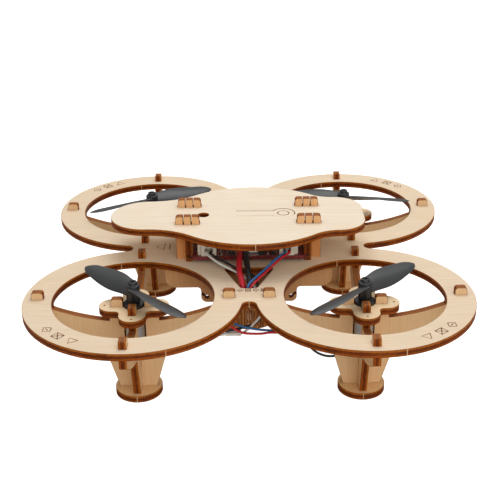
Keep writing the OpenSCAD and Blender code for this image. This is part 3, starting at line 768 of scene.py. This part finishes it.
def propeller(corner, turn, spin):
    """Two blades at a heading in degrees and a stepped hub with a blind hole."""
    node = "prop_" + corner
    low, high = box_mm(node)
    i, j = SIDES[corner]
    hub_r, cap_r, cap_h = 2.78, 1.78, 1.4
    length = (Vector((high.x, high.y)) - Vector((low.x, low.y))).length / 2 - 0.6
    length = min(length, BLADE_LIMIT)
    centre = Vector((i * RING_C, j * RING_C, low.z + BLADE_RISE))
    bm = bmesh.new()
    for half in (0, 180):
        blade(bm, centre, math.radians(turn + half), spin, length)
    base = (centre.x, centre.y, 0)
    step = high.z - cap_h
    hub = [(1.6, low.z), (hub_r - 0.25, low.z), (hub_r, low.z + 0.3)]
    hub += [(hub_r, step - 0.4), (hub_r - 0.12, step - 0.1), (hub_r - 0.4, step)]
    hub += [(cap_r + 0.1, step), (cap_r, step + 0.1)]
    hub += [(cap_r, high.z - 0.3), (cap_r - 0.1, high.z - 0.08), (cap_r - 0.3, high.z)]
    hub += [(0.98, high.z), (0.9, high.z - 0.1), (0.9, high.z - 1.2)]
    # slot 1, the hub, takes the darker plastic: painted shade
    lathe(bm, base, hub, 40, 1)
    add_piece("propeller_" + corner, bm, [PROP, SHADED_HUB], node, [node], smooth=50)


def motor(corner):
    """Steel can with rolled rims, a cap with a bearing boss in black as painted shade, a black
    disc below, an axle.
    """
    node = "motor_" + corner
    low, high = box_mm(node)
    i, j = SIDES[corner]
    base = (i * RING_C, j * RING_C, 0)
    top = high.z - 0.3
    r = (high.x - low.x) / 2 - 0.01
    bm = bmesh.new()
    can = [(r - 0.35, low.z + 0.02), (r, low.z + 0.12), (r, low.z + 1.0), (r - 0.12, low.z + 1.1)]
    can += [(r - 0.12, low.z + 1.5), (r, low.z + 1.6), (r, top - 1.6), (r - 0.1, top - 1.55)]
    lathe(bm, base, can, 56)
    # the top cap is steel on the real motor; black plastic here is painted shade
    cap = [(r - 0.12, top - 1.6)] + rounded(r, top - 1.7, top, 0.5)[5:]
    cap += [(1.35, top), (1.3, high.z - 0.05), (1.2, high.z), (0.6, high.z)]
    lathe(bm, base, cap, 56, 1)
    bell = [(0.9, low.z + 0.01), (r - 0.6, low.z + 0.01), (r - 0.5, low.z + 0.1)]
    lathe(bm, base, bell, 40, 1)
    add_piece("motor_can_" + corner, bm, [STEEL, BLACK], AIRFRAME, [node])
    bm = bmesh.new()
    shaft = "shaft_" + corner
    low, high = box_mm(shaft)
    lathe(bm, base, rounded(0.49, low.z, high.z, 0.12, 3), 24)
    add_piece("axle_" + corner, bm, STEEL, "prop_" + corner, [shaft])


# ---------------------------------------------------------------- electronics

def chip(bm, x, y, w, d, h, legs):
    """Package with a bevelled body and flat legs on two sides."""
    z = BOARD_HIGH.z
    block(bm, (x - w / 2, y - d / 2, z + 0.08), (x + w / 2, y + d / 2, z + h), 0.1, 2, 0)
    pitch = w / (legs + 1)
    for k in range(legs):
        lx = x - w / 2 + pitch * (k + 1)
        for s in (-1, 1):
            y0, y1 = sorted((y + s * d / 2, y + s * (d / 2 + 0.7)))
            block(bm, (lx - 0.12, y0, z + 0.02), (lx + 0.12, y1, z + 0.16), 0, 1, 1)


# x, y, width, depth, height, legs on each long side
PACKAGES = (
    (0, 1, 7, 7, 1.0, 8),
    (8.6, -8.6, 3, 3, 0.9, 3),
    (-9.4, 4, 4, 5, 1.1, 4),
    (9.6, 5, 5, 4, 1.2, 4),
    (5.6, -13.2, 2.6, 2.2, 1.0, 2),
    (-7.4, -12.4, 2.4, 2, 1.0, 2),
    (10.6, -13.4, 1.8, 1.6, 0.8, 2),
)


def keep_out(x, y, width, depth):
    """Centre and half sizes of a patch of board that small parts stay off."""
    margin = 1.0
    return x, y, width / 2 + margin, depth / 2 + margin


# through holes with gold rings, mirrored to all four quarters, and the two lead pads
HOLE_X, HOLE_Y = 21, 5.2
PAD_XS, PAD_Y = (-3.9, -1.1), -14.1


def board_parts():
    """Everything that sits on the circuit board apart from sockets and switch."""
    bm = bmesh.new()
    for package in PACKAGES:
        chip(bm, *package)
    add_piece("board_packages", bm, [BLACK, TIN], replaces=["board_chips"])

    bm = bmesh.new()
    random.seed(5)
    z = BOARD_HIGH.z
    taken = []
    for node in ("board_crystal", "button_case", "board_lamp", "socket_front_left",
                 "socket_front_right", "socket_rear_left", "socket_rear_right"):
        low, high = box_mm(node)
        spot = middle(node)
        taken.append(keep_out(spot.x, spot.y, high.x - low.x, high.y - low.y))
    taken += [keep_out(x, y, w, d) for x, y, w, d, h, legs in PACKAGES]
    taken += [keep_out(i * HOLE_X, j * HOLE_Y, 3, 3) for i, j in SIDES.values()]
    taken.append(keep_out(-2.5, -13.8, 5.5, 2.6))
    for _ in range(260):
        x = random.uniform(-21, 21)
        y = random.uniform(-14.4, 14.4)
        if any(abs(x - a) < w and abs(y - b) < h for a, b, w, h in taken):
            continue
        taken.append((x, y, 1.5, 1.1))
        turned = random.random() < 0.5
        w, d = (0.55, 1.1) if turned else (1.1, 0.55)
        tall = random.choice((0.35, 0.45, 0.6))
        body = random.choice((0, 0, 1))
        block(bm, (x - w / 2, y - d / 2, z), (x + w / 2, y + d / 2, z + tall), 0.04, 1, body)
        for s in (-1, 1):
            ex, ey = (x, y + s * d * 0.42) if turned else (x + s * w * 0.42, y)
            ew, ed = (w / 2 + 0.03, 0.15) if turned else (0.15, d / 2 + 0.03)
            block(bm, (ex - ew, ey - ed, z), (ex + ew, ey + ed, z + tall + 0.03), 0, 1, 2)
    add_piece("board_passives", bm, [BLACK, TAPE, TIN])

    bm = bmesh.new()
    for x in PAD_XS:
        lathe(bm, (x, PAD_Y, z), [(1.0, 0.0), (0.95, 0.12), (0.6, 0.45), (0.25, 0.6)], 20)
    ring = [(1.15, -0.02), (1.7, -0.02), (1.7, 0.05), (1.15, 0.05)]
    for i in (-1, 1):
        for j in (-1, 1):
            lathe(bm, (i * HOLE_X, j * HOLE_Y, z), ring, 32)
    add_piece("board_pads", bm, COPPER)

    bm = bmesh.new()
    low, high = box_mm("board_crystal")
    block(bm, low, (high.x, high.y, low.z + 0.35), 0.1)
    inset = Vector((0.35, 0.35, 0))
    block(bm, low + inset + Vector((0, 0, 0.3)), high - inset, 0.9, 4)
    add_piece("board_crystal_can", bm, TIN, replaces=["board_crystal"])

    bm = bmesh.new()
    low, high = box_mm("board_lamp")
    block(bm, low, (high.x, high.y, low.z + 0.3), 0.04, 1, 1)
    inset = Vector((0.3, 0.05, 0))
    block(bm, low + inset + Vector((0, 0, 0.28)), high - inset, 0.15, 3)
    add_piece("board_lamp_body", bm, [LAMP, TIN], replaces=["board_lamp"])

    dress("circuit_board", MASK, 0.06)


def switch():
    """Square tact switch: black body, metal top plate with four rivets, white plunger."""
    low, high = box_mm("button_case")
    mid = (low + high) / 2
    bm = bmesh.new()
    block(bm, low, (high.x, high.y, high.z - 0.5), 0.15, 2, 0)
    plate_low = (low.x + 0.2, low.y + 0.2, high.z - 0.55)
    plate_high = (high.x - 0.2, high.y - 0.2, high.z - 0.3)
    block(bm, plate_low, plate_high, 0.05, 1, 1)
    collar = [(1.8, high.z - 0.35), (2.2, high.z - 0.35), (2.2, high.z), (1.8, high.z)]
    lathe(bm, (mid.x, mid.y, 0), collar, 40, 1)
    rivet = rounded(0.35, high.z - 0.32, high.z - 0.05, 0.1, 2)
    for i in (-1, 1):
        for j in (-1, 1):
            lathe(bm, (mid.x + i * 2.2, mid.y + j * 2.2, 0), rivet, 16, 0)
    add_piece("switch_case", bm, [BLACK, TIN], replaces=["button_case"])
    low, high = box_mm("power_button")
    bm = bmesh.new()
    lathe(bm, (mid.x, mid.y, 0), rounded(1.69, low.z, high.z, 0.35), 40)
    add_piece("switch_plunger", bm, WHITE, "power_button", ["power_button"])


def socket(node, out):
    """Two-way crimp socket: wire mouths at the front, key slot on top, lug on its outer side."""
    low, high = box_mm(node)
    bm = bmesh.new()
    front = low.y if out < 0 else high.y
    back = high.y if out < 0 else low.y
    outer = 1 if low.x > 0 else -1
    x0 = low.x if outer > 0 else high.x - SOCKET_W
    x1 = x0 + SOCKET_W
    mid = (x0 + x1) / 2

    def part(xa, xb, f0, f1, z0, z1, bevel=0.1, material=0):
        """Block whose depth runs from the mouth (0) to the back (1)."""
        xs = sorted((xa, xb))
        ys = sorted((front + (back - front) * f0, front + (back - front) * f1))
        block(bm, (xs[0], ys[0], z0), (xs[1], ys[1], z1), bevel, 2, material)

    part(x0, x1, 0.5, 1.0, low.z, high.z)
    part(x0, x1, 0.0, 0.55, low.z, low.z + 1.7)
    for s in (-1, 1):
        part(mid + s * 1.75, mid + s * SOCKET_W / 2, 0.0, 0.55, low.z + 1.6, high.z)
        pin = mid + s * PIN
        part(pin - 0.5, pin + 0.5, 0.12, 0.5, low.z + 1.6, low.z + 2.0, 0.05, 1)
        part(pin - 0.3, pin + 0.3, 0.97, 1.12, low.z + 0.02, low.z + 0.3, 0.04, 1)
    part(mid - 0.12, mid + 0.12, 0.03, 0.55, low.z + 1.6, high.z - 1.2, 0.03)
    part(x0 + 0.9, x1 - 0.9, 0.05, 0.55, high.z - 1.6, high.z - 1.1, 0.08)
    side = mid + outer * SOCKET_W / 2
    part(side - outer * 0.1, side + outer * 1.6, 0.17, 0.65, low.z, high.z - 0.35, 0.25)
    add_piece(node + "_body", bm, [NYLON, TIN], replaces=[node])


def plug():
    """Small battery plug: rounded housing, an open end of four thin walls, two dark windows."""
    low, high = box_mm("power_plug")
    bm = bmesh.new()
    block(bm, low, (high.x - 1.2, high.y, high.z), 0.3, 3)
    for z0, z1 in ((low.z, low.z + 0.45), (high.z - 0.45, high.z)):
        block(bm, (high.x - 1.6, low.y, z0), (high.x, high.y, z1), 0.12)
    for y0, y1 in ((low.y, low.y + 0.45), (high.y - 0.45, high.y)):
        block(bm, (high.x - 1.6, y0, low.z + 0.2), (high.x, y1, high.z - 0.2), 0.12)
    for s in (0.3, 0.6):
        x = low.x + (high.x - low.x) * s
        near = (x - 0.4, low.y - 0.03, low.z + 0.8)
        block(bm, near, (x + 0.4, low.y + 0.3, high.z - 0.8), 0.05, 1, 1)
    add_piece("power_plug_body", bm, [NYLON, BLACK], replaces=["power_plug"])


def battery():
    """Soft-cornered cell in blue film, one end taped, a patch of tape on the other."""
    low, high = box_mm("battery")
    bm = bmesh.new()
    block(bm, (low.x + 1.0, low.y, low.z), (high.x - 2.6, high.y, high.z), 1.5, 6)
    cap_low = (high.x - 3.2, low.y + 0.25, low.z + 0.25)
    block(bm, cap_low, (high.x, high.y - 0.25, high.z - 0.25), 0.6, 3, 1)
    strap_high = (low.x + 1.4, high.y - 0.8, low.z + 8.5)
    block(bm, (low.x, low.y + 0.8, low.z + 5), strap_high, 0.4, 2, 1)
    add_piece("battery_cell", bm, [FILM, TAPE], "battery", ["battery"])


# ---------------------------------------------------------------- wires

LEAD_R = 1.2
WIRE_R = 0.5
SOCKET_W = 6.4
END_Z = -23
PIN = 0.9
PIN_Z = BOARD_HIGH.z + 1.8 - DECK_TOP
MOUTH = BOARD_LOW.y + 1.2
LEFT_X = box_mm("socket_front_left")[1].x - SOCKET_W / 2
RIGHT_X = box_mm("socket_front_right")[0].x + SOCKET_W / 2
REAR_X = box_mm("socket_rear_right")[0].x + SOCKET_W / 2
NEAR, FAR = RING_C - 3.15, RING_C - 2.1


def leaving(x):
    """Straight first stations of a wire, inside its socket."""
    return [(x, MOUTH, PIN_Z), (x, MOUTH - 1, PIN_Z), (x, MOUTH - 2, PIN_Z - 0.1)]


# stations: x, y, height above the deck's top face; pairs end under the motor they feed
ROUTES = {
    "lead_red": [
        (-3.7, -14.2, 4.5), (-3.8, -19, 4.7), (-4, -25, 4.4), (-3.8, -31, 2.9), (-2.8, -35.4, 0.4),
        (-2.5, -36.8, -2.4), (-3.2, -37.2, -5), (-6.8, -38, -8.2), (-10.6, -38.9, -12),
        (-12.7, -39.6, -15.6), (-13.1, -40.6, -18.2), (-11.1, -41.4, -19.3),
    ],
    "lead_black": [
        (-1.1, -14.2, 4.5), (-1.1, -19, 4.7), (-0.8, -25, 4.4), (-0.2, -31, 2.8), (0.4, -35, 0.4),
        (0.5, -36.8, -2.4), (-0.2, -37.1, -5.2), (-3.4, -37.2, -8.8), (-6.8, -38, -12),
        (-8.6, -39.4, -14.6), (-8.7, -41.2, -16.7),
    ],
    "wire_front_right_black": [
        *leaving(LEFT_X + PIN), (-11.8, -20.6, 3.8), (-4.6, -26, 2.1),
        (1, -29.2, 1), (3.2, -33, 0.4), (3.6, -36, -0.9), (3.7, -37, -3.4), (5.3, -38.8, -8),
        (5.3, -40, -12), (4.2, -40.1, -14.2), (2.2, -40, -16.3), (0.2, -40.2, -17.1),
        (-2.5, -41.2, -17.4), (-5, -42.8, -17.3), (-7.5, -43.4, -17.4), (-11.4, -43.9, -17.9),
        (-16.5, -42.5, -19), (-19.5, -36, -20.8), (-17, -24, -22.6), (0, -17.5, -22.8),
        (17, -26, -22.6), (22.4, -37, -24.6), (26.4, -42, -28), (31, -43.1, -30.2),
        (36, -43.2, -30.3), (41.6, -43.2, -27.8), (43.9, -43.2, -24.8), (FAR, -NEAR, END_Z),
    ],
    "wire_front_right_white": [
        *leaving(LEFT_X - PIN), (-12.6, -22, 2.9), (-4.7, -27.4, 0.9),
        (-0.6, -31, -0.5), (2, -35, -1.5), (2.7, -37.9, -3.8), (4.4, -40.4, -8),
        (4.6, -41.6, -11.4), (3.2, -41.6, -13.8), (1.5, -41.5, -15.8), (0, -41.7, -17.5),
        (-1.5, -42.2, -18.5), (-3.1, -43.4, -18.9), (-6, -43.6, -18.9), (-10, -43.9, -19),
        (-14, -44, -19.4), (-18.8, -42, -20.6), (-21, -35.6, -22.4), (-18, -23.4, -24),
        (0, -16.2, -24.2), (18.2, -25.2, -23.9), (24, -36.2, -24), (27.4, -41.6, -26.2),
        (31, -42.9, -27.9), (36, -43.1, -28.1), (40.2, -43.6, -26.4), (42.4, -44, -24.8),
        (NEAR, -FAR, END_Z),
    ],
    "wire_front_left_blue": [
        *leaving(RIGHT_X - PIN), (12.6, -20.6, 4.8), (7, -28.6, 3.3),
        (2.4, -35.4, 2.3), (-0.1, -38.4, 1), (-0.7, -39.1, -1.6), (-1.2, -39.1, -3.9),
        (-4.8, -41, -7), (-8.6, -42.2, -10.4), (-9.8, -42.5, -12.8), (-8.9, -42.5, -14.1),
        (-7, -42.6, -14.6), (-3.6, -42.8, -15.8), (0.4, -42.8, -17), (4.5, -42.3, -18),
        (8.6, -42.3, -18.4), (13.6, -41.8, -19), (17.8, -38.6, -21.6), (18.8, -31, -26.2),
        (14, -22.6, -26.6), (0, -20, -26.3), (-16, -24, -26.6), (-22.4, -34, -25.9),
        (-28, -41, -26.4), (-34.6, -43, -26.7), (-41, -43, -25.3), (-43.8, -43.2, -24.1),
        (-FAR, -NEAR, END_Z),
    ],
    "wire_front_left_red": [
        *leaving(RIGHT_X + PIN), (13.4, -21.1, 4.2), (7.8, -29.1, 2.7),
        (3.3, -35.9, 1.6), (1, -38.6, 0.3), (0.5, -39.1, -2), (0, -39.1, -4.1),
        (-4.2, -42.4, -7.6), (-9, -43.9, -11), (-10.6, -44.1, -13.6), (-9.5, -44.2, -14.8),
        (-7.7, -44.5, -15), (-5.2, -44.6, -16.8), (-2.4, -44.4, -18.2), (0.4, -44.2, -18.7),
        (4.5, -44, -18.9), (8.5, -43.9, -18.5), (13.6, -43.4, -19), (19, -39.4, -22),
        (20, -31, -27.4), (15, -21.4, -27.9), (0, -18.6, -27.6), (-17, -23.2, -27.9),
        (-23.6, -33.6, -27.2), (-29, -41, -27.7), (-34.6, -43.4, -28.2), (-39.8, -44, -27.7),
        (-42.1, -44.25, -25.9), (-NEAR, -FAR, END_Z),
    ],
}
REAR_INNER = [
    *leaving(REAR_X - PIN), (12, -21, 4), (6.6, -27.4, 2.4), (4, -31.8, 0.8),
    (3.3, -34.6, -2), (3.9, -36.2, -5), (7.5, -38.6, -11), (14, -40.6, -16.6), (22, -42, -20.4),
    (30, -42.6, -23.6), (37, -42.5, -24.9), (41.6, -42.9, -24.6), (43.8, -43.2, -23.9),
    (FAR, -NEAR, END_Z),
]
REAR_OUTER = [
    *leaving(REAR_X + PIN), (13.6, -22, 3.8), (8.4, -28.6, 2.2), (4, -34.2, 0.8),
    (2.4, -36.6, -2.2), (2.9, -38, -5.4), (6.4, -40.4, -12.2), (13.2, -42.2, -17.9),
    (21.6, -43.2, -21.7), (30, -43.9, -24.9), (36.4, -43.9, -26.9), (40.2, -44.1, -27),
    (42.4, -44.1, -25.3), (NEAR, -FAR, END_Z),
]


def mirrored(stations, sx, sy):
    """Stations mirrored across the planes whose sign is -1."""
    return [(x * sx, y * sy, z) for x, y, z in stations]


ROUTES["wire_rear_left_black"] = mirrored(REAR_INNER, -1, -1)
ROUTES["wire_rear_left_white"] = mirrored(REAR_OUTER, -1, -1)
ROUTES["wire_rear_right_blue"] = mirrored(REAR_INNER, 1, -1)
ROUTES["wire_rear_right_red"] = mirrored(REAR_OUTER, 1, -1)
COLOURS = {"red": (RED, "wire_red"), "black": (JET, "wire_black"), "blue": (BLUE, "wire_blue"),
           "white": (PALE, "wire_white")}


def wires():
    """Round cables along the routes, in the colour that ends their name."""
    for node, stations in ROUTES.items():
        material, slot = COLOURS[node.split("_")[-1]]
        radius = LEAD_R if node.startswith("lead") else WIRE_R
        path = spline([(x, y, z + DECK_TOP) for x, y, z in stations], 8)
        bm = bmesh.new()
        sweep(bm, path, radius, 16)
        add_piece(node + "_cable", bm, material, AIRFRAME, [node], smooth=60)


# ---------------------------------------------------------------- stage, light and camera

def studio():
    """White paper floor and backdrop, a dim white sky and two large soft lamps."""
    bpy.ops.mesh.primitive_plane_add(size=8, location=(0, 0, -0.0002))
    floor = bpy.context.object
    floor.name = "floor"
    s = Shader("floor_paper")
    seen = s.node("ShaderNodeLightPath").outputs["Is Camera Ray"]
    s.set(Base_Color=srgb(214, 206, 196), Roughness=0.95, Specular_IOR_Level=0.0)
    s.set(Emission_Color=srgb(255, 255, 255), Emission_Strength=seen)
    floor.data.materials.append(s.mat)

    world = bpy.data.worlds.new("studio")
    world.use_nodes = True
    tree = world.node_tree
    backdrop = tree.nodes["Background"]
    backdrop.inputs["Color"].default_value = (1.0, 1.0, 1.0, 1)
    ray = tree.nodes.new("ShaderNodeLightPath")
    level = tree.nodes.new("ShaderNodeMapRange")
    level.inputs["To Min"].default_value = 0.43
    tree.links.new(ray.outputs["Is Camera Ray"], level.inputs["Value"])
    tree.links.new(level.outputs["Result"], backdrop.inputs["Strength"])
    bpy.context.scene.world = world

    def area(name, place, size, power):
        """Square lamp that looks at the middle of the airframe."""
        lamp = bpy.data.lights.new(name, "AREA")
        lamp.size = size
        lamp.energy = power
        holder = bpy.data.objects.new(name, lamp)
        holder.location = place
        heading = Vector((0, 0, 0.03)) - Vector(place)
        holder.rotation_euler = heading.to_track_quat("-Z", "Y").to_euler()
        bpy.context.scene.collection.objects.link(holder)

    area("key", (0.06, 0.3, 0.8), 0.7, 4.1)
    area("fill", (0.3, -0.8, 0.4), 0.9, 3.6)
    bpy.context.scene.view_settings.view_transform = "Standard"
    bpy.context.scene.view_settings.look = "None"


def camera():
    """Same viewpoint, tilt and focal length as the reference view."""
    eye = Vector((-0.36, -393.73, DECK_TOP + 182.8)) * MM
    target = Vector((0.673, -3.088, DECK_TOP)) * MM
    roll = math.radians(-0.652)
    ahead = (target - eye).normalized()
    right = ahead.cross(Vector((0, 0, 1))).normalized()
    up = right.cross(ahead)
    tilted_right = right * math.cos(roll) + up * math.sin(roll)
    tilted_up = up * math.cos(roll) - right * math.sin(roll)
    turn = Matrix((tilted_right, tilted_up, -ahead)).transposed().to_4x4()
    data = bpy.data.cameras.new("camera")
    data.sensor_width = 36.0
    data.lens = 70.4448
    holder = bpy.data.objects.new("camera", data)
    holder.matrix_world = Matrix.Translation(eye) @ turn
    bpy.context.scene.collection.objects.link(holder)
    bpy.context.scene.camera = holder


ply_nodes()
bridge_stubs()
canopy_mark()
deck_marks()
propeller("front_left", 134.4, -1)
propeller("front_right", 43.2, 1)
propeller("rear_left", 27.2, 1)
propeller("rear_right", 171.5, -1)
for name in CORNERS:
    motor(name)
board_parts()
switch()
socket("socket_front_left", -1)
socket("socket_front_right", -1)
socket("socket_rear_left", 1)
socket("socket_rear_right", 1)
plug()
battery()
wires()
studio()
camera()
